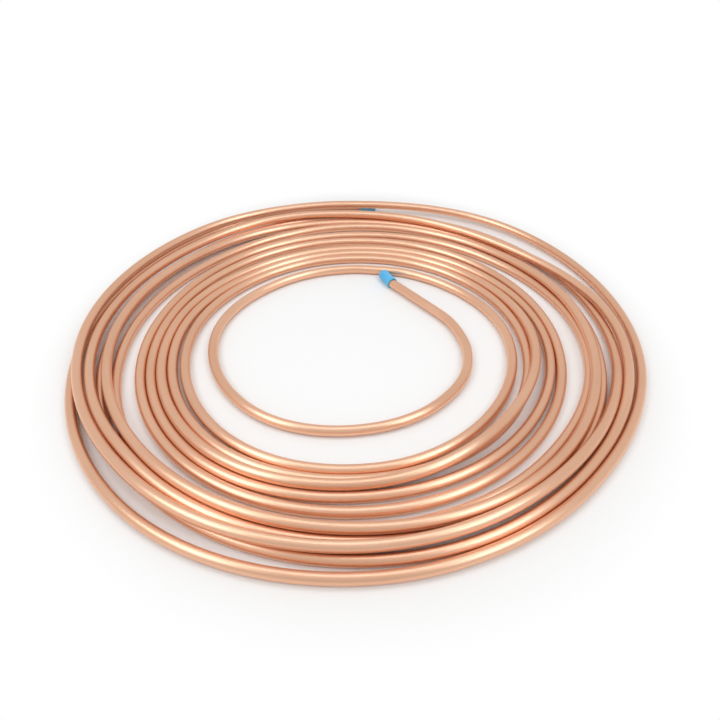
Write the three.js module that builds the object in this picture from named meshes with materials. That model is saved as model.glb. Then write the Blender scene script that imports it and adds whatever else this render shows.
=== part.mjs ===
// Loose coil of soft copper tube with a slip-on plastic cap on each end.
// Millimetres, +Z up. The coil lies flat on the floor plane z = 0 and is wound clockwise, seen from
// above, from its free inner end out to its outer end. Bearing 0 is +Y and bearings run clockwise.

import {
  Box3,
  BufferGeometry,
  Float32BufferAttribute,
  Group,
  LatheGeometry,
  MathUtils,
  Mesh,
  MeshStandardMaterial,
  Path,
  SplineCurve,
  Vector2,
  Vector3,
} from 'three';

// ---- driving sizes ----

const TUBE_OD = 9.52;            // 3/8 in. tube
const TUBE_WALL = 0.81;
const TURN_GAP = 0.3;            // least space left between turns that lie against each other
const EYE_RADIUS = 100;          // the circle that the lay below is counted from

const CAP_WALL = 0.9;
const CAP_FIT = 0.3;             // space between a cap and the tube inside it
const CAP_LENGTH = 25;
const CAP_END = 1.6;             // thickness of the closed end
const CAP_ROUND = 1.5;           // rounding of the closed end's rim
const CAP_LIFT_LEVEL = 65;       // the tube runs level at cap height for this far from its end
const CAP_LIFT_END = 200;        // and has come down to the floor by here

// Bearings of the two ends: the inner one in the first turn and the outer one in the last.
const INNER_END_BEARING = 13;
const OUTER_END_BEARING = 4;

// How the turns lie: one row for each turn, read every 45 degrees from bearing 0. Each number is how
// many tube pitches the turn's centre line lies outside the eye circle.
const LAY = [
  [0.9, -1.9, 0.1, 1.7, 2.7, 4.3, 4.6, 2.5],
  [1.4, 2.4, 4.7, 5.9, 7.0, 7.8, 7.0, 4.7],
  [3.6, 4.5, 6.3, 7.5, 7.9, 9.0, 8.3, 5.7],
  [4.7, 5.6, 7.0, 7.5, 8.8, 10.0, 9.4, 6.8],
  [5.7, 6.8, 8.5, 9.1, 9.5, 10.8, 10.3, 8.5],
  [7.5, 8.2, 9.5, 10.4, 10.9, 11.7, 11.0, 9.8],
  [8.9, 10.2, 12.5, 12.1, 12.5, 14.1, 13.4, 11.4],
  [11.0, 11.3, 12.5, 13.0, 12.8, 13.8, 14.6, 13.2],
  [12.0, 12.4, 13.3, 13.8, 13.5, 14.8, 16.3, 14.8],
  [12.6, 12.5, 15.8, 15.1, 14.9, 15.3, 15.0, 13.9],
  [13.4, 14.3, 15.2, 14.0, 14.2, 15.6, 17.6, 17.0],
  [15.3, 17.5, 17.6, 15.9, 16.2, 17.6, 17.8, 17.2],
  [16.2, 15.8],
];

// Stretches of the winding, in turns, that lie on top of their neighbours.
const RAISED = [
  [3.2, 3.42],
  [7.2, 7.88],
  [8.6, 9.3],
  [10.32, 11],
];

// Where the last turn comes down to the floor with nothing under it, in turns, and the height that
// it starts from, in tube pitches.
const BRIDGE_START = 10.95;
const BRIDGE_LANDING = 11.24;
const BRIDGE_HEIGHT = 0.96;

// How the turns settle, pass by pass.
const STIFFNESS = 0.4;           // part of the way that a point moves to the middle of its neighbours
const SHAPE_HOLD = 0.9;          // part of its sideways shift from the lay that a point keeps
const SINK = 0.007;              // how far a point sinks, in tube pitches

// ---- facets ----

const STATIONS_PER_TURN = 36;
const OUTER_SIDES = 10;
const BORE_SIDES = 5;
const CAP_SIDES = 24;
const CAP_ROUND_STEPS = 4;

// ---- sizes that follow ----

const TUBE_RADIUS = TUBE_OD / 2;
const BORE_RADIUS = TUBE_RADIUS - TUBE_WALL;
const TURN_PITCH = TUBE_OD + TURN_GAP;
const CAP_BORE = TUBE_RADIUS + CAP_FIT;
const CAP_RADIUS = CAP_BORE + CAP_WALL;
const CAP_GRIP = CAP_LENGTH - CAP_END - CAP_FIT;         // length of tube inside a cap

// The two ends in turns from bearing 0 of the first turn.
const INNER_END = INNER_END_BEARING / 360;
const OUTER_END = LAY.length - 1 + OUTER_END_BEARING / 360;
const FIRST_STATION = Math.floor(INNER_END * STATIONS_PER_TURN);
const LAST_STATION = Math.ceil(OUTER_END * STATIONS_PER_TURN);

// Height of the centre line on the floor. The tube's polygon has a flat side underneath.
const TUBE_REST = TUBE_RADIUS * Math.cos(Math.PI / OUTER_SIDES);
const CAP_REST = CAP_RADIUS;

// ---- the lay of the coil ----

const layCurve = new SplineCurve(LAY.flat().map((lay, k) => new Vector2(k, lay)));
const layAt = (turn) => layCurve.getPoint(turn * 8 / (LAY.flat().length - 1)).y;

const isCapped = (turn) => {
  const fromEnd = Math.max(turn - OUTER_END, INNER_END - turn);
  return fromEnd < 0 && fromEnd > -1 / STATIONS_PER_TURN;
};
const isRaised = (turn) => RAISED.some(([from, to]) => turn > from && turn < to);

// Lowest height of the centre line. A cap is fatter than the tube and holds its end off the floor,
// and the bridge keeps its own height.
function floorHeight(turn) {
  const lift = (end) => {
    const reach = EYE_RADIUS + TURN_PITCH * layAt(end);
    const away = Math.abs(turn - end) * 2 * Math.PI * reach;
    return 1 - MathUtils.smoothstep(away, CAP_LIFT_LEVEL, CAP_LIFT_END);
  };
  const ends = (CAP_REST - TUBE_REST) * Math.max(lift(INNER_END), lift(OUTER_END));
  const fall = MathUtils.smoothstep(turn, BRIDGE_START, BRIDGE_LANDING);
  const bridge = turn > BRIDGE_START ? BRIDGE_HEIGHT * TURN_PITCH * (1 - fall) : 0;
  return TUBE_REST + Math.max(ends, bridge);
}

// The turns settle like a real coil: they push each other apart where they are too close, sink to the
// floor or to the turns under them, and bend smoothly between.
function settledTurns() {
  const SETTLING_PASSES = 400;
  const CLEARING_PASSES = 100;
  const nodes = [];
  for (let n = FIRST_STATION; n <= LAST_STATION; n += 1) {
    const turn = n / STATIONS_PER_TURN;
    const floor = floorHeight(turn);
    nodes.push({
      wanted: EYE_RADIUS + TURN_PITCH * layAt(turn),
      shift: 0,
      floor,
      height: floor + (isRaised(turn) ? TURN_PITCH : 0),
      radius: isCapped(turn) ? CAP_RADIUS : TUBE_RADIUS,
    });
  }

  // Moves two pieces of tube apart where they are too close. Each is known by two stations and is
  // measured at the middle between them.
  const separate = (a1, a2, b1, b2) => {
    const across = (b1.wanted + b1.shift + b2.wanted + b2.shift
      - a1.wanted - a1.shift - a2.wanted - a2.shift) / 2;
    const up = (b1.height + b2.height - a1.height - a2.height) / 2;
    const apart = Math.hypot(across, up);
    const clear = a1.radius + b1.radius + TURN_GAP;
    if (apart >= clear) return;
    const push = (clear - apart) / 4 / apart;
    for (const a of [a1, a2]) {
      a.shift -= across * push;
      a.height = Math.max(a.floor, a.height - up * push);
    }
    for (const b of [b1, b2]) {
      b.shift += across * push;
      b.height = Math.max(b.floor, b.height + up * push);
    }
  };

  const pushApart = () => {
    const last = nodes.length - 1;
    for (let n = 0; n <= last; n += 1) {
      for (let m = n + STATIONS_PER_TURN; m <= last; m += STATIONS_PER_TURN) {
        separate(nodes[n], nodes[n], nodes[m], nodes[m]);
        if (m < last) separate(nodes[n], nodes[n + 1], nodes[m], nodes[m + 1]);
      }
    }
  };

  const relax = (key, amount) => {
    for (let n = 1; n < nodes.length - 1; n += 1) {
      const middle = (nodes[n - 1][key] + nodes[n + 1][key]) / 2;
      nodes[n][key] += amount * (middle - nodes[n][key]);
    }
  };

  for (let pass = 0; pass < SETTLING_PASSES; pass += 1) {
    relax('shift', STIFFNESS);
    relax('height', STIFFNESS);
    for (const node of nodes) {
      node.shift *= SHAPE_HOLD;
      node.height = Math.max(node.floor, node.height - SINK * TURN_PITCH);
    }
    pushApart();
  }
  for (let pass = 0; pass < CLEARING_PASSES; pass += 1) pushApart();
  return nodes;
}

const settled = settledTurns();

// Point on the centre line at a place in the winding.
function windingPoint(turn) {
  const place = Math.min(turn * STATIONS_PER_TURN - FIRST_STATION, settled.length - 1);
  const before = settled[Math.floor(place)];
  const after = settled[Math.ceil(place)];
  const part = place - Math.floor(place);
  const mix = (a, b) => a + (b - a) * part;
  const reach = mix(before.wanted + before.shift, after.wanted + after.shift);
  const bearing = turn * 2 * Math.PI;
  return new Vector3(
    reach * Math.sin(bearing),
    reach * Math.cos(bearing),
    mix(before.height, after.height),
  );
}

// The centre line from end to end. The tube runs straight where a cap grips it.
function centreLine() {
  const start = windingPoint(INNER_END);
  const finish = windingPoint(OUTER_END);
  const clear = CAP_GRIP + CAP_FIT;
  const between = [];
  for (let n = FIRST_STATION; n <= LAST_STATION; n += 1) {
    const turn = n / STATIONS_PER_TURN;
    if (turn <= INNER_END || turn >= OUTER_END) continue;
    const point = windingPoint(turn);
    if (point.distanceTo(start) > clear && point.distanceTo(finish) > clear) between.push(point);
  }
  return [start, ...between, finish];
}

// ---- building blocks ----

// A ring of points round a centre, square to the direction given, with a flat side underneath.
function ring(centre, along, radius, sides) {
  const side = new Vector3().crossVectors(along, new Vector3(0, 0, 1)).normalize();
  const up = new Vector3().crossVectors(side, along).normalize();
  const points = [];
  for (let k = 0; k < sides; k += 1) {
    const angle = (2 * Math.PI * (k + 0.5)) / sides - Math.PI / 2;
    points.push(
      centre.clone()
        .addScaledVector(side, radius * Math.cos(angle))
        .addScaledVector(up, radius * Math.sin(angle)),
    );
  }
  return points;
}

// A hollow tube swept along a line of points, open at both ends, as one closed solid.
function hollowTube(line) {
  const positions = [];
  const indices = [];
  const alongAt = (n) => {
    const from = line[Math.max(0, n - 1)];
    const to = line[Math.min(line.length - 1, n + 1)];
    return to.clone().sub(from).normalize();
  };
  for (let n = 0; n < line.length; n += 1) {
    const outside = ring(line[n], alongAt(n), TUBE_RADIUS, OUTER_SIDES);
    const inside = ring(line[n], alongAt(n), BORE_RADIUS, BORE_SIDES);
    for (const point of [...outside, ...inside]) positions.push(point.x, point.y, point.z);
  }

  const stride = OUTER_SIDES + BORE_SIDES;
  const skin = (first, sides, outward) => {
    for (let n = 0; n < line.length - 1; n += 1) {
      for (let k = 0; k < sides; k += 1) {
        const a = n * stride + first + k;
        const b = n * stride + first + ((k + 1) % sides);
        const c = a + stride;
        const d = b + stride;
        if (outward) indices.push(a, c, b, b, c, d);
        else indices.push(a, b, c, b, d, c);
      }
    }
  };
  skin(0, OUTER_SIDES, true);
  skin(OUTER_SIDES, BORE_SIDES, false);
  const lastRing = (line.length - 1) * stride;
  indices.push(...endFace(0, true), ...endFace(lastRing, false));

  const geometry = new BufferGeometry();
  geometry.setAttribute('position', new Float32BufferAttribute(positions, 3));
  geometry.setIndex(indices);
  geometry.computeVertexNormals();
  return geometry;
}

// The flat ring of metal at a tube end, between the outer polygon and the bore polygon.
function endFace(base, facesBack) {
  const faces = [];
  const face = (a, b, c) => (facesBack ? faces.push(a, b, c) : faces.push(a, c, b));
  let outer = 0;
  let inner = 0;
  while (outer < OUTER_SIDES || inner < BORE_SIDES) {
    const o = base + (outer % OUTER_SIDES);
    const i = base + OUTER_SIDES + (inner % BORE_SIDES);
    if ((outer + 1) * BORE_SIDES <= (inner + 1) * OUTER_SIDES) {
      face(o, base + ((outer + 1) % OUTER_SIDES), i);
      outer += 1;
    } else {
      face(o, base + OUTER_SIDES + ((inner + 1) % BORE_SIDES), i);
      inner += 1;
    }
  }
  return faces;
}

// A slip-on cap, closed end up along +Y, with the tube's end at its origin.
function capGeometry() {
  const inside = CAP_FIT;
  const tip = inside + CAP_END;
  const mouth = tip - CAP_LENGTH;
  const profile = new Path();
  profile.moveTo(0, inside);
  profile.lineTo(CAP_BORE, inside);
  profile.lineTo(CAP_BORE, mouth);
  profile.lineTo(CAP_RADIUS, mouth);
  profile.lineTo(CAP_RADIUS, tip - CAP_ROUND);
  profile.absarc(CAP_RADIUS - CAP_ROUND, tip - CAP_ROUND, CAP_ROUND, 0, Math.PI / 2, false);
  profile.lineTo(0, tip);
  return new LatheGeometry(profile.getPoints(CAP_ROUND_STEPS), CAP_SIDES);
}

// ---- materials ----

const copper = new MeshStandardMaterial({ color: 0xd99a78, roughness: 0.3, metalness: 1 });
const bluePlastic = () => new MeshStandardMaterial({ color: 0x3fa9ee, roughness: 0.45, metalness: 0 });

// ---- the parts ----

const line = centreLine();

function namedMesh(name, geometry, material) {
  const mesh = new Mesh(geometry, material);
  mesh.name = name;
  return mesh;
}

function endCap(name, end, neighbour) {
  const mesh = namedMesh(name, capGeometry(), bluePlastic());
  const outward = end.clone().sub(neighbour).normalize();
  mesh.position.copy(end);
  mesh.quaternion.setFromUnitVectors(new Vector3(0, 1, 0), outward);
  return mesh;
}

const coil = new Group();
coil.add(
  namedMesh('copper_tube', hollowTube(line), copper),
  endCap('inner_end_cap', line[0], line[1]),
  endCap('outer_end_cap', line[line.length - 1], line[line.length - 2]),
);

// The origin is under the middle of the coil's box.
const middle = new Box3().setFromObject(coil).getCenter(new Vector3());
coil.position.set(-middle.x, -middle.y, 0);

export default coil;
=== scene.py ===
import math

import bmesh
import bpy
from mathutils import Matrix, Vector


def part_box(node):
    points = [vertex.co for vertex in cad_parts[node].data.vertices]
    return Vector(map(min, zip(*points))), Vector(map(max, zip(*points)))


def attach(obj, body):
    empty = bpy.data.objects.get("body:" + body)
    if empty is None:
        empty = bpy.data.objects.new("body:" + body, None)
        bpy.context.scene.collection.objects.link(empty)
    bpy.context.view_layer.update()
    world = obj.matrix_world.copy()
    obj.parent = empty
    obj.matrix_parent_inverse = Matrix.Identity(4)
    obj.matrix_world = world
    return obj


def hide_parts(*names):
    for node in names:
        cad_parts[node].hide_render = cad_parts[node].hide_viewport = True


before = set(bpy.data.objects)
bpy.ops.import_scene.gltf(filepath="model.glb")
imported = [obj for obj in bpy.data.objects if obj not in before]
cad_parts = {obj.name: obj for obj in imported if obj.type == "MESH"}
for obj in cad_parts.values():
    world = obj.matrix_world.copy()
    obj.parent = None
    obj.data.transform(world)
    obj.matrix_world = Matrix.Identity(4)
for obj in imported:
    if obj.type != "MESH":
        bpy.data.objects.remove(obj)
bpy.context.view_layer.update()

# A loose coil of soft copper tube with a blue vinyl cap on each end, lying flat on a floor.
# The coil's sizes are in millimetres. Its finished line, the meshes and the studio are in metres.

MM = 0.001

# ---- sizes, the CAD part's own unless a comment says otherwise ----

TUBE_OD = 9.52
TUBE_WALL = 0.81
TURN_GAP = 0.3          # least space left between turns that lie against each other
EYE_RADIUS = 100        # the circle that the lay below is counted from

CAP_WALL = 0.9
CAP_FIT = 0.3           # space between a cap and the tube inside it
CAP_LENGTH = 21         # drawn a little shorter than its solid
CAP_END = 1.6           # thickness of the closed end
CAP_ROUND = 1.5         # rounding of the closed end's rim
CAP_LIFT_LEVEL = 65     # the tube runs level at cap height for this far from its end
CAP_LIFT_END = 200      # and has come down to the floor by here

# The drawn cap's closed end is a little hollow. Each pair is a part of the way out to its rim, and
# how deep it is there.
CAP_DISH = [(0, 0.25), (0.45, 0.2), (0.8, 0.02)]

# Where the tube's ends are, in degrees clockwise from +Y, seen from above.
INNER_END_BEARING = 13
OUTER_END_BEARING = 4

# How the turns lie: one row for each turn, a number every 45 degrees clockwise from +Y. Each number
# is how many tube pitches the turn's centre line lies outside the eye circle.
LAY = [
    [0.9, -1.9, 0.1, 1.7, 2.7, 4.3, 4.6, 2.5],
    [1.4, 2.4, 4.7, 5.9, 7.0, 7.8, 7.0, 4.7],
    [3.6, 4.5, 6.3, 7.5, 7.9, 9.0, 8.3, 5.7],
    [4.7, 5.6, 7.0, 7.5, 8.8, 10.0, 9.4, 6.8],
    [5.7, 6.8, 8.5, 9.1, 9.5, 10.8, 10.3, 8.5],
    [7.5, 8.2, 9.5, 10.4, 10.9, 11.7, 11.0, 9.8],
    [8.9, 10.2, 12.5, 12.1, 12.5, 14.1, 13.4, 11.4],
    [11.0, 11.3, 12.5, 13.0, 12.8, 13.8, 14.6, 13.2],
    [12.0, 12.4, 13.3, 13.8, 13.5, 14.8, 16.3, 14.8],
    [12.6, 12.5, 15.8, 15.1, 14.9, 15.3, 15.0, 13.9],
    [13.4, 14.3, 15.2, 14.0, 14.2, 15.6, 17.6, 17.0],
    [15.3, 17.5, 17.6, 15.9, 16.2, 17.6, 17.8, 17.2],
    [16.2, 15.8],
]

# The free inner end is drawn with a lay of its own, one number every 10 degrees from bearing 20,
# because the lay above is too coarse for its straight run. The part inside the cap leans outwards.
FREE_END = [-0.59, -1.31, -1.7, -1.8, -1.65, -1.21, -0.62, -0.08, 0.52, 1.02, 1.43, 1.66]
END_LEAN = 14           # degrees

# Stretches of the winding, in turns, that lie on top of their neighbours.
RAISED = [(3.2, 3.42), (7.2, 7.88), (8.6, 9.3), (10.32, 11)]

# Where the last turn comes down to the floor with nothing under it, in turns, and the height that
# it starts from, in tube pitches.
BRIDGE_START = 10.95
BRIDGE_LANDING = 11.24
BRIDGE_HEIGHT = 0.96

# How the turns settle, pass by pass.
STIFFNESS = 0.4         # part of the way that a point moves to the middle of its neighbours
SHAPE_HOLD = 0.9        # part of its sideways shift from the lay that a point keeps
SINK = 0.007            # how far a point sinks, in tube pitches
SETTLING_PASSES = 400
CLEARING_PASSES = 100

STATIONS_PER_TURN = 36
DRAWN_IN = 0.999        # the drawn coil, which bends more smoothly, keeps this part of its width

TUBE_RADIUS = TUBE_OD / 2
BORE_RADIUS = TUBE_RADIUS - TUBE_WALL
TURN_PITCH = TUBE_OD + TURN_GAP
CAP_BORE = TUBE_RADIUS + CAP_FIT
CAP_RADIUS = CAP_BORE + CAP_WALL
CAP_GRIP = CAP_LENGTH - CAP_END - CAP_FIT
INNER_END = INNER_END_BEARING / 360
OUTER_END = len(LAY) - 1 + OUTER_END_BEARING / 360
FIRST_STATION = math.floor(INNER_END * STATIONS_PER_TURN)
LAST_STATION = math.ceil(OUTER_END * STATIONS_PER_TURN)

# ---- fineness of the meshes ----

TUBE_SIDES = 24
TUBE_STEPS = 5          # steps of the skin from one station to the next
BORE_SIDES = 12
BORE_STEPS = 2
CAP_SIDES = 48
CAP_ROUND_STEPS = 6
CAP_LIP_STEPS = 8
MERGE = 0.01            # corners nearer than this are one

# ---- finishes ----

# Tones are given as they look on a screen, from 0 to 255, a darker one and a paler one.
COPPER_TONES = [(240, 187, 154), (250, 200, 168)]
VINYL_TONES = [(84, 175, 224), (102, 189, 232)]

# How many there are per metre. On the tube the first number counts along it, the others across it.
DIE_LINES = (14, 2600, 2600)
HANDLING_MARKS = (9, 60, 60)
VINYL_GRAIN = (900, 900, 900)
VINYL_CLOUD = (90, 90, 90)

DIE_LINE_DEPTH = 0.04               # millimetres
VINYL_GRAIN_DEPTH = 0.05
COPPER_ROUGHNESS = (0.26, 0.36)     # least and most, with the die's lines
VINYL_ROUGHNESS = 0.42
NOISE_RANGE = (0.3, 0.7)            # most of a noise lies between these

# ---- the studio, in metres ----

FLOOR_REACH = 4
FLOOR_PALE = (0.915, 0.875, 0.84, 1)
FLOOR_ROUGHNESS = 0.7
SEEN_WHITE_FROM = 0.272         # from here outwards the floor fades to the white of the backdrop
SEEN_WHITE_BY = 0.32            # and is plain white from here

# The lamps are slightly cool. Their power is in watts.
LAMP_COLOUR = (0.88, 1, 1.08)
LAMPS = {
    "overhead_strip": dict(place=(0, -0.03, 0.6), aim=(0, -0.03, 0), width=0.75, depth=0.16, power=0.8),
    "right_box": dict(place=(0.64, -0.45, 0.9), aim=(0.05, -0.1, 0), width=0.45, depth=0.4, power=1.75),
    "left_box": dict(place=(-0.68, -0.33, 0.92), aim=(-0.05, -0.1, 0), width=0.6, depth=0.4, power=2.1),
}

TENT_COLOUR = (0.97, 0.98, 1, 1)
TENT_LIGHT = 0.74               # how strongly the tent lights the coil and the floor
TENT_SIDES = 0.75               # how bright the metal sees it
TENT_OPENING = 0.62             # and how bright it sees the open front
OPENING_FROM = 0.45             # the front starts to open here, as a part of the way straight ahead
OPENING_BY = 0.9                # and is fully open from here

CAMERA_PLACE = (0.0006, -0.4506, 0.3876)
CAMERA_DOWN = 43                # degrees below level
FRAME_PIXELS = 720
FOCAL_PIXELS = 585.5            # the focal length, in pixels of the frame
SENSOR = 36                     # millimetres, as a lens is


# ---- the lay of the coil ----

LAY_POINTS = [lay for row in LAY for lay in row]


def lay_at(turn):
    """The lay anywhere along the winding, on a smooth curve through the numbers of LAY."""
    place = turn * len(LAY[0])
    n = min(int(place), len(LAY_POINTS) - 2)
    part = place - n
    last = len(LAY_POINTS) - 1
    before, a, b, after = (LAY_POINTS[min(max(k, 0), last)] for k in range(n - 1, n + 3))
    slope_a = (b - before) / 2
    slope_b = (after - a) / 2
    return (
        (2 * a - 2 * b + slope_a + slope_b) * part ** 3
        + (3 * b - 3 * a - 2 * slope_a - slope_b) * part ** 2
        + slope_a * part
        + a
    )


def is_capped(turn):
    """Whether a station lies within one step of an end, where a cap makes the tube fatter."""
    from_end = max(turn - OUTER_END, INNER_END - turn)
    return -1 / STATIONS_PER_TURN < from_end < 0


def is_raised(turn):
    return any(start < turn < stop for start, stop in RAISED)


def smoothstep(value, low, high):
    part = min(max((value - low) / (high - low), 0), 1)
    return part * part * (3 - 2 * part)


def floor_height(turn):
    """Lowest height of the centre line.

    A cap is fatter than the tube and holds its end off the floor, and the bridge keeps its own height.
    """
    lift = 0
    for end in (INNER_END, OUTER_END):
        reach = EYE_RADIUS + TURN_PITCH * lay_at(end)
        away = abs(turn - end) * 2 * math.pi * reach
        lift = max(lift, 1 - smoothstep(away, CAP_LIFT_LEVEL, CAP_LIFT_END))
    fall = smoothstep(turn, BRIDGE_START, BRIDGE_LANDING)
    bridge = BRIDGE_HEIGHT * TURN_PITCH * (1 - fall) if turn > BRIDGE_START else 0
    return TUBE_RADIUS + max((CAP_RADIUS - TUBE_RADIUS) * lift, bridge)


class Winding:
    """The stations of the winding, with how far each has shifted outwards and how high it lies."""

    def __init__(self):
        turns = [n / STATIONS_PER_TURN for n in range(FIRST_STATION, LAST_STATION + 1)]
        lays = [lay_at(turn) for turn in turns]
        lays[1:1 + len(FREE_END)] = FREE_END
        self.wanted = [EYE_RADIUS + TURN_PITCH * lay for lay in lays]
        self.shift = [0.0] * len(turns)
        self.floor = [floor_height(turn) for turn in turns]
        self.height = [
            low + (TURN_PITCH if is_raised(turn) else 0) for low, turn in zip(self.floor, turns)
        ]
        self.radius = [CAP_RADIUS if is_capped(turn) else TUBE_RADIUS for turn in turns]

    def separate(self, a1, a2, b1, b2):
        """Moves two pieces of tube apart where they are too close.

        Each is known by two stations and is measured at the middle between them.
        """
        wanted, shift, height, floor = self.wanted, self.shift, self.height, self.floor
        across = (
            wanted[b1] + shift[b1] + wanted[b2] + shift[b2]
            - wanted[a1] - shift[a1] - wanted[a2] - shift[a2]
        ) / 2
        clear = self.radius[a1] + self.radius[b1] + TURN_GAP
        if across >= clear:
            return
        up = (height[b1] + height[b2] - height[a1] - height[a2]) / 2
        apart = math.hypot(across, up)
        if apart >= clear:
            return
        push = (clear - apart) / 4 / apart
        for a in (a1, a2):
            shift[a] -= across * push
            height[a] = max(floor[a], height[a] - up * push)
        for b in (b1, b2):
            shift[b] += across * push
            height[b] = max(floor[b], height[b] + up * push)

    def push_apart(self):
        last = len(self.wanted) - 1
        for n in range(last + 1):
            for m in range(n + STATIONS_PER_TURN, last + 1, STATIONS_PER_TURN):
                self.separate(n, n, m, m)
                if m < last:
                    self.separate(n, n + 1, m, m + 1)

    def sink(self):
        for n, low in enumerate(self.floor):
            self.shift[n] *= SHAPE_HOLD
            self.height[n] = max(low, self.height[n] - SINK * TURN_PITCH)


def relax(values):
    for n in range(1, len(values) - 1):
        middle = (values[n - 1] + values[n + 1]) / 2
        values[n] += STIFFNESS * (middle - values[n])


def settled_stations():
    """The reach and the height of the winding at every station.

    The turns settle like a real coil: they push each other apart where they are too close, sink to
    the floor or to the turns under them, and bend smoothly between.
    """
    winding = Winding()
    for _ in range(SETTLING_PASSES):
        relax(winding.shift)
        relax(winding.height)
        winding.sink()
        winding.push_apart()
    for _ in range(CLEARING_PASSES):
        winding.push_apart()
    reach = [wanted + shift for wanted, shift in zip(winding.wanted, winding.shift)]
    return list(zip(reach, winding.height))


SETTLED = settled_stations()


def winding_point(turn):
    """The point of the centre line at any turn, in millimetres."""
    place = min(turn * STATIONS_PER_TURN - FIRST_STATION, len(SETTLED) - 1)
    before = SETTLED[math.floor(place)]
    after = SETTLED[math.ceil(place)]
    part = place - math.floor(place)
    reach = before[0] + (after[0] - before[0]) * part
    high = before[1] + (after[1] - before[1]) * part
    bearing = turn * 2 * math.pi
    return Vector((reach * math.sin(bearing), reach * math.cos(bearing), high))


def centre_line():
    """Points from end to end, in metres. The tube runs straight where a cap grips it."""
    start = winding_point(INNER_END)
    finish = winding_point(OUTER_END)
    clear = CAP_GRIP + CAP_FIT
    between = []
    for n in range(FIRST_STATION, LAST_STATION + 1):
        turn = n / STATIONS_PER_TURN
        if turn <= INNER_END or turn >= OUTER_END:
            continue
        point = winding_point(turn)
        if (point - start).length > clear and (point - finish).length > clear:
            between.append(point)
    grip = (start - between[0]).normalized() * clear
    mouth = start - grip
    grip.rotate(Matrix.Rotation(math.radians(-END_LEAN), 3, "Z"))
    points = [mouth + grip, mouth + grip / 2, mouth, *between, finish]

    # The coil is moved so that its box lies over the CAD tube's box. The CAD tube runs straight from
    # station to station and this one bends between them, so it is drawn in a little.
    low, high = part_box("copper_tube")
    middle = Vector((0, 0, 0))
    move = Vector((0, 0, 0))
    for axis in (0, 1):
        span = [point[axis] for point in points]
        middle[axis] = (min(span) + max(span)) / 2
        move[axis] = (low[axis] + high[axis]) / 2
    draw_in = Vector((DRAWN_IN, DRAWN_IN, 1))
    return [(point - middle) * draw_in * MM + move for point in points]


LINE = centre_line()


# ---- node helpers ----

def feed(tree, socket, value):
    """Gives an input a value, or links another node's output to it."""
    if isinstance(value, bpy.types.NodeSocket):
        tree.links.new(value, socket)
    else:
        socket.default_value = value


def feed_node(tree, node, **inputs):
    """Feeds inputs by name, with an underscore for each space in a name."""
    for name, value in inputs.items():
        feed(tree, node.inputs[name.replace("_", " ")], value)


def add_node(tree, kind, **inputs):
    """A new node with its inputs fed."""
    node = tree.nodes.new(kind)
    feed_node(tree, node, **inputs)
    return node


def add_math(tree, kind, operation, *values):
    """A math node's outputs. Its inputs are given in order."""
    node = tree.nodes.new(kind)
    node.operation = operation
    for socket, value in zip(node.inputs, values):
        feed(tree, socket, value)
    return node.outputs


def new_tree(name, kind, inputs, outputs):
    """A node tree with named sockets, with the values it is given and the inputs of its result."""
    tree = bpy.data.node_groups.new(name, kind)
    for side, sockets in (("INPUT", inputs), ("OUTPUT", outputs)):
        for label, socket_kind in sockets.items():
            tree.interface.new_socket(label, in_out=side, socket_type="NodeSocket" + socket_kind)
    given = tree.nodes.new("NodeGroupInput").outputs
    result = tree.nodes.new("NodeGroupOutput").inputs
    return tree, given, result


# ---- the tube ----

def smooth_line(tree, line, steps):
    """Bends the line smoothly through its points, with this many steps from each to the next."""
    bent = add_node(tree, "GeometryNodeCurveSplineType", Curve=line)
    bent.spline_type = "CATMULL_ROM"
    fine = add_node(
        tree, "GeometryNodeSetSplineResolution", Geometry=bent.outputs["Curve"], Resolution=steps
    )
    points = add_node(tree, "GeometryNodeResampleCurve", Curve=fine.outputs["Geometry"])
    points.mode = "EVALUATED"
    return points.outputs["Curve"]


def kept_between(tree, line, lowest, highest):
    """Keeps the line between two heights, and the sweep along it from twisting."""
    position = tree.nodes.new("GeometryNodeInputPosition").outputs["Position"]
    here = add_node(tree, "ShaderNodeSeparateXYZ", Vector=position).outputs
    height = add_node(tree, "ShaderNodeClamp", Value=here["Z"], Min=lowest, Max=highest)
    place = add_node(
        tree, "ShaderNodeCombineXYZ", X=here["X"], Y=here["Y"], Z=height.outputs["Result"]
    )
    moved = add_node(
        tree, "GeometryNodeSetPosition", Geometry=line, Position=place.outputs["Vector"]
    )
    level = add_node(tree, "GeometryNodeSetCurveNormal", Curve=moved.outputs["Geometry"])
    level.mode = "Z_UP"
    return level.outputs["Curve"]


def captured(tree, geometry, **fields):
    """Holds values of a curve's points, so that they are still known after the sweep."""
    node = add_node(tree, "GeometryNodeCaptureAttribute", Geometry=geometry)
    for name, field in fields.items():
        node.capture_items.new("FLOAT" if field.type == "VALUE" else "VECTOR", name)
        tree.links.new(field, node.inputs[name])
    return node.outputs


def marked(tree, geometry, name, value):
    """Stores a vector on every point under a name, for the material to read."""
    mark = add_node(tree, "GeometryNodeStoreNamedAttribute", Geometry=geometry, Name=name)
    mark.data_type = "FLOAT_VECTOR"
    mark.domain = "POINT"
    tree.links.new(value, mark.inputs["Value"])
    return mark.outputs["Geometry"]


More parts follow.
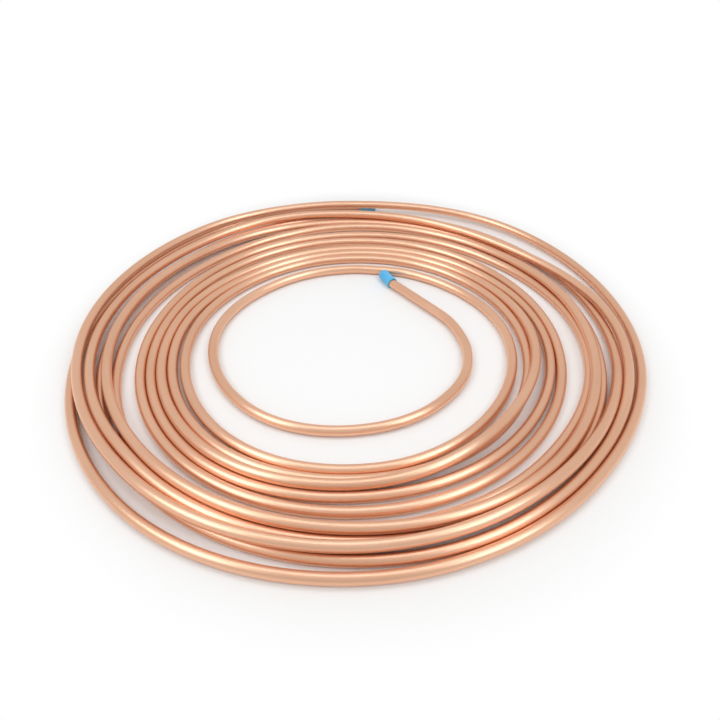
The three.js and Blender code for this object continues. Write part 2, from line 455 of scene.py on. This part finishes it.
def tube_tree():
    """Sweeps a round tube wall along a curve.

    Each point is marked with its place on the straight tube and with the way that the tube runs.
    """
    tree, given, result = new_tree(
        "Tube along its winding", "GeometryNodeTree",
        inputs={
            "Centre line": "Geometry",
            "Radius": "Float",
            "Sides": "Int",
            "Steps": "Int",
            "Lowest": "Float",
            "Highest": "Float",
            "Material": "Material",
        },
        outputs={"Tube": "Geometry"},
    )
    line = smooth_line(tree, given["Centre line"], given["Steps"])
    line = kept_between(tree, line, given["Lowest"], given["Highest"])
    line = captured(
        tree, line,
        Along=tree.nodes.new("GeometryNodeSplineParameter").outputs["Length"],
        Direction=tree.nodes.new("GeometryNodeInputTangent").outputs["Tangent"],
    )
    profile = add_node(
        tree, "GeometryNodeCurvePrimitiveCircle", Radius=given["Radius"], Resolution=given["Sides"]
    )
    profile = captured(
        tree, profile.outputs["Curve"],
        Around=tree.nodes.new("GeometryNodeInputPosition").outputs["Position"],
    )
    sweep = add_node(
        tree, "GeometryNodeCurveToMesh", Curve=line["Geometry"], Profile_Curve=profile["Geometry"]
    )

    around = add_node(tree, "ShaderNodeSeparateXYZ", Vector=profile["Around"]).outputs
    place = add_node(tree, "ShaderNodeCombineXYZ", X=line["Along"], Y=around["X"], Z=around["Y"])
    tube = marked(tree, sweep.outputs["Mesh"], "straight_tube", place.outputs["Vector"])
    tube = marked(tree, tube, "tube_direction", line["Direction"])

    shade = add_node(tree, "GeometryNodeSetShadeSmooth", Geometry=tube)
    real = add_node(tree, "GeometryNodeRealizeInstances", Geometry=shade.outputs["Geometry"])
    finish = add_node(
        tree, "GeometryNodeSetMaterial", Geometry=real.outputs["Geometry"], Material=given["Material"]
    )
    tree.links.new(finish.outputs["Geometry"], result["Tube"])
    return tree


def line_object():
    """The centre line as a curve of straight pieces."""
    curve = bpy.data.curves.new("centre_line", "CURVE")
    curve.dimensions = "3D"
    spline = curve.splines.new("POLY")
    spline.points.add(len(LINE) - 1)
    for point, place in zip(spline.points, LINE):
        point.co = (*place, 1)
    return bpy.data.objects.new("centre_line", curve)


def swept(line, tree, **sizes):
    """The mesh that the tree makes along the line, as plain geometry."""
    modifier = line.modifiers.new("sweep", "NODES")
    modifier.node_group = tree
    names = {item.name: item.identifier for item in tree.interface.items_tree if item.in_out == "INPUT"}
    for name, value in sizes.items():
        modifier[names[name]] = value
    depsgraph = bpy.context.evaluated_depsgraph_get()
    mesh = bpy.data.meshes.new_from_object(line.evaluated_get(depsgraph))
    line.modifiers.remove(modifier)
    return mesh


def finished_mesh(name, bm, material):
    """Turns the faces outwards, shades them smooth and makes them a mesh."""
    bmesh.ops.recalc_face_normals(bm, faces=bm.faces)
    for face in bm.faces:
        face.smooth = True
    mesh = bpy.data.meshes.new(name)
    bm.to_mesh(mesh)
    bm.free()
    mesh.materials.append(material)
    return mesh


def copper_tube(material):
    """The hollow tube: its outside, its bore and the ring of metal at each end."""
    line = line_object()
    bpy.context.scene.collection.objects.link(line)
    tree = tube_tree()
    # The smooth bends between the stations stay above the floor and under the CAD tube's top.
    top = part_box("copper_tube")[1][2]
    sizes = {"Lowest": TUBE_RADIUS * MM, "Highest": top - TUBE_RADIUS * MM, "Material": material}
    outside = swept(line, tree, Radius=TUBE_RADIUS * MM, Sides=TUBE_SIDES, Steps=TUBE_STEPS, **sizes)
    bore = swept(line, tree, Radius=BORE_RADIUS * MM, Sides=BORE_SIDES, Steps=BORE_STEPS, **sizes)
    bpy.data.objects.remove(line)

    bm = bmesh.new()
    bm.from_mesh(outside)
    bm.from_mesh(bore)
    open_edges = [edge for edge in bm.edges if edge.is_boundary]
    for end in (LINE[0], LINE[-1]):
        near = [edge for edge in open_edges if (edge.verts[0].co - end).length < TUBE_OD * MM]
        bmesh.ops.bridge_loops(bm, edges=near)
    return finished_mesh("drawn_copper_tube", bm, material)


# ---- the caps ----

def arc(middle, radius, start, stop, steps):
    """Points of a round corner, from one angle to another in degrees."""
    points = []
    for step in range(steps + 1):
        angle = math.radians(start + (stop - start) * step / steps)
        points.append((middle[0] + radius * math.cos(angle), middle[1] + radius * math.sin(angle)))
    return points


def cap_profile():
    """Half of the cap's section: how far each corner lies from its axis, and how far past the tube."""
    tip = CAP_FIT + CAP_END
    mouth = tip - CAP_LENGTH
    lip = CAP_WALL / 2
    rim = CAP_RADIUS - CAP_ROUND
    return [
        *((rim * part, tip - depth) for part, depth in CAP_DISH),
        *arc((rim, tip - CAP_ROUND), CAP_ROUND, 90, 0, CAP_ROUND_STEPS),
        *arc((CAP_BORE + lip, mouth + lip), lip, 0, -180, CAP_LIP_STEPS),
        (CAP_BORE, CAP_FIT),
        (0, CAP_FIT),
    ]


def cap_mesh(name, end, neighbour, material):
    """A slip-on cap, turned about the tube's end, with a rounded closed end and a rounded mouth."""
    out = (end - neighbour).normalized()
    side = out.cross(Vector((0, 0, 1))).normalized()
    bm = bmesh.new()
    verts = [bm.verts.new(end + (side * reach + out * along) * MM) for reach, along in cap_profile()]
    edges = [bm.edges.new(pair) for pair in zip(verts, verts[1:])]
    bmesh.ops.spin(
        bm, geom=verts + edges, cent=end, axis=out, angle=2 * math.pi, steps=CAP_SIDES, use_merge=True
    )
    bmesh.ops.remove_doubles(bm, verts=bm.verts, dist=MERGE * MM)
    return finished_mesh(name, bm, material)


# ---- the materials ----

def colour(red, green, blue):
    """The colour for a material that looks like this on a screen, from 0 to 255."""
    def linear(level):
        level /= 255
        return level / 12.92 if level <= 0.04045 else ((level + 0.055) / 1.055) ** 2.4
    return (linear(red), linear(green), linear(blue), 1)


def new_material(name):
    """A material with its node tree and its surface."""
    material = bpy.data.materials.new(name)
    material.use_nodes = True
    tree = material.node_tree
    return material, tree, tree.nodes["Principled BSDF"]


def grain_group():
    """A fine grain and a broad cloud, both from 0 to 1, as many per metre as each count says."""
    group, given, result = new_tree(
        "grain_and_cloud", "ShaderNodeTree",
        inputs={"Vector": "Vector", "Grain Count": "Vector", "Cloud Count": "Vector"},
        outputs={"Grain": "Float", "Cloud": "Float"},
    )
    for name in ("Grain", "Cloud"):
        counted = add_math(
            group, "ShaderNodeVectorMath", "MULTIPLY", given["Vector"], given[name + " Count"]
        )
        noise = add_node(group, "ShaderNodeTexNoise", Vector=counted["Vector"], Scale=1, Detail=3)
        group.links.new(noise.outputs["Fac"], result[name])
    return group


GRAIN_AND_CLOUD = grain_group()


def grain_and_cloud(tree, place, grain_count, cloud_count):
    """The grain and the cloud at a place, with their counts per metre each way."""
    node = tree.nodes.new("ShaderNodeGroup")
    node.node_tree = GRAIN_AND_CLOUD
    feed_node(tree, node, Vector=place, Grain_Count=grain_count, Cloud_Count=cloud_count)
    return node.outputs["Grain"], node.outputs["Cloud"]


def base_tone(tree, surface, cloud, tones):
    """Lets the base colour drift between two tones with the cloud."""
    tone = add_node(tree, "ShaderNodeValToRGB", Fac=cloud)
    low, high = tone.color_ramp.elements
    low.position = NOISE_RANGE[0]
    low.color = colour(*tones[0])
    high.position = NOISE_RANGE[1]
    high.color = colour(*tones[1])
    feed_node(tree, surface, Base_Color=tone.outputs["Color"])


def relief(tree, surface, height, strength, depth):
    """Lets the light see a height that is this many millimetres deep."""
    bump = add_node(tree, "ShaderNodeBump", Height=height, Strength=strength, Distance=depth * MM)
    feed_node(tree, surface, Normal=bump.outputs["Normal"])


def mark_of(tree, name):
    """A vector that the tube's points are marked with."""
    node = tree.nodes.new("ShaderNodeAttribute")
    node.attribute_name = name
    return node.outputs["Vector"]


def drawn_copper():
    """Soft bright copper: fine lines along the tube from the drawing die, and faint handling marks."""
    material, tree, surface = new_material("drawn_copper")
    place = mark_of(tree, "straight_tube")
    lines, marks = grain_and_cloud(tree, place, DIE_LINES, HANDLING_MARKS)
    base_tone(tree, surface, marks, COPPER_TONES)
    relief(tree, surface, lines, strength=0.25, depth=DIE_LINE_DEPTH)
    least, most = COPPER_ROUGHNESS
    roughness = add_node(tree, "ShaderNodeMapRange", Value=lines, To_Min=least, To_Max=most)
    feed_node(tree, surface, Roughness=roughness.outputs["Result"], Metallic=1)

    # The die's lines spread a highlight across the tube and keep it short along it.
    feed_node(
        tree, surface,
        Tangent=mark_of(tree, "tube_direction"), Anisotropic=0.8, Anisotropic_Rotation=0.25,
    )
    return material


def cap_vinyl():
    """Soft blue vinyl with a fine grain."""
    material, tree, surface = new_material("blue_vinyl")
    place = tree.nodes.new("ShaderNodeTexCoord").outputs["Object"]
    grain, cloud = grain_and_cloud(tree, place, VINYL_GRAIN, VINYL_CLOUD)
    base_tone(tree, surface, cloud, VINYL_TONES)
    relief(tree, surface, grain, strength=0.2, depth=VINYL_GRAIN_DEPTH)
    feed_node(tree, surface, Roughness=VINYL_ROUGHNESS)
    return material


# ---- the pieces ----

def add_piece(name, mesh, node):
    """Puts a finished mesh in the place of a CAD node."""
    piece = bpy.data.objects.new(name, mesh)
    bpy.context.scene.collection.objects.link(piece)
    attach(piece, "root")
    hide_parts(node)


vinyl = cap_vinyl()
add_piece("drawn_copper_tube", copper_tube(drawn_copper()), "copper_tube")
add_piece(
    "inner_vinyl_cap", cap_mesh("inner_vinyl_cap", LINE[0], LINE[1], vinyl),
    "inner_end_cap",
)
add_piece(
    "outer_vinyl_cap", cap_mesh("outer_vinyl_cap", LINE[-1], LINE[-2], vinyl),
    "outer_end_cap",
)


# ---- floor, light and camera ----

def white_when_seen(tree, lit, share=None, glare=None):
    """Shows plain white to the camera and in reflections, and the lit shader to all other rays.

    The share is how much of the white shows, and the glare is how strong it is in reflections.
    """
    def math_node(operation, first, second):
        return add_math(tree, "ShaderNodeMath", operation, first, second)["Value"]

    path = tree.nodes.new("ShaderNodeLightPath").outputs
    amount = math_node("MAXIMUM", path["Is Glossy Ray"], path["Is Transmission Ray"])
    amount = math_node("MAXIMUM", amount, path["Is Camera Ray"])
    if share is not None:
        amount = math_node("MULTIPLY", amount, share)
    seen = tree.nodes.new("ShaderNodeEmission")
    if glare is not None:
        feed_node(tree, seen, Strength=math_node("MAXIMUM", glare, path["Is Camera Ray"]))
    mix = add_node(tree, "ShaderNodeMixShader", Fac=amount)
    tree.links.new(lit, mix.inputs[1])
    tree.links.new(seen.outputs["Emission"], mix.inputs[2])
    return mix.outputs["Shader"]


def white_floor():
    """A pale floor that takes the coil's shadow and fades to white around it."""
    mesh = bpy.data.meshes.new("studio_floor")
    reach = FLOOR_REACH
    corners = [(-reach, -reach, 0), (reach, -reach, 0), (reach, reach, 0), (-reach, reach, 0)]
    mesh.from_pydata(corners, [], [(0, 1, 2, 3)])
    floor = bpy.data.objects.new("studio_floor", mesh)
    bpy.context.scene.collection.objects.link(floor)
    material, tree, surface = new_material("white_floor")
    feed_node(tree, surface, Base_Color=FLOOR_PALE, Roughness=FLOOR_ROUGHNESS, Specular_IOR_Level=0.1)
    place = tree.nodes.new("ShaderNodeTexCoord").outputs["Object"]
    away = add_math(tree, "ShaderNodeVectorMath", "LENGTH", place)["Value"]
    fade = add_node(
        tree, "ShaderNodeMapRange", Value=away, From_Min=SEEN_WHITE_FROM, From_Max=SEEN_WHITE_BY
    )
    fade.interpolation_type = "SMOOTHSTEP"
    shader = white_when_seen(tree, surface.outputs["BSDF"], share=fade.outputs["Result"])
    tree.links.new(shader, tree.nodes["Material Output"].inputs["Surface"])
    mesh.materials.append(material)


def soft_light(name, place, aim, width, depth, power):
    """A rectangular lamp that faces the point it is aimed at."""
    data = bpy.data.lights.new(name, "AREA")
    data.shape = "RECTANGLE"
    data.size = width
    data.size_y = depth
    data.energy = power
    data.color = LAMP_COLOUR
    light = bpy.data.objects.new(name, data)
    light.location = place
    light.rotation_euler = (Vector(aim) - Vector(place)).to_track_quat("-Z", "Y").to_euler()
    bpy.context.scene.collection.objects.link(light)


def studio_world():
    """A white tent, open to the front, where what the metal shows is darker."""
    world = bpy.data.worlds.new("studio")
    bpy.context.scene.world = world
    world.use_nodes = True
    tree = world.node_tree
    lit = tree.nodes["Background"]
    feed_node(tree, lit, Color=TENT_COLOUR, Strength=TENT_LIGHT)
    way = tree.nodes.new("ShaderNodeTexCoord").outputs["Generated"]
    split = add_node(tree, "ShaderNodeSeparateXYZ", Vector=way)
    bright = add_node(
        tree, "ShaderNodeMapRange", Value=split.outputs["Y"],
        From_Min=-OPENING_BY, From_Max=-OPENING_FROM, To_Min=TENT_OPENING, To_Max=TENT_SIDES,
    )
    shader = white_when_seen(tree, lit.outputs["Background"], glare=bright.outputs["Result"])
    tree.links.new(shader, tree.nodes["World Output"].inputs["Surface"])


def add_camera():
    data = bpy.data.cameras.new("camera")
    data.sensor_width = SENSOR
    data.lens = SENSOR * FOCAL_PIXELS / FRAME_PIXELS
    camera = bpy.data.objects.new("camera", data)
    camera.location = CAMERA_PLACE
    camera.rotation_euler = (math.radians(90 - CAMERA_DOWN), 0, 0)
    bpy.context.scene.collection.objects.link(camera)
    bpy.context.scene.camera = camera


white_floor()
studio_world()
for name, lamp in LAMPS.items():
    soft_light(name, **lamp)
add_camera()
bpy.context.scene.view_settings.view_transform = "Standard"
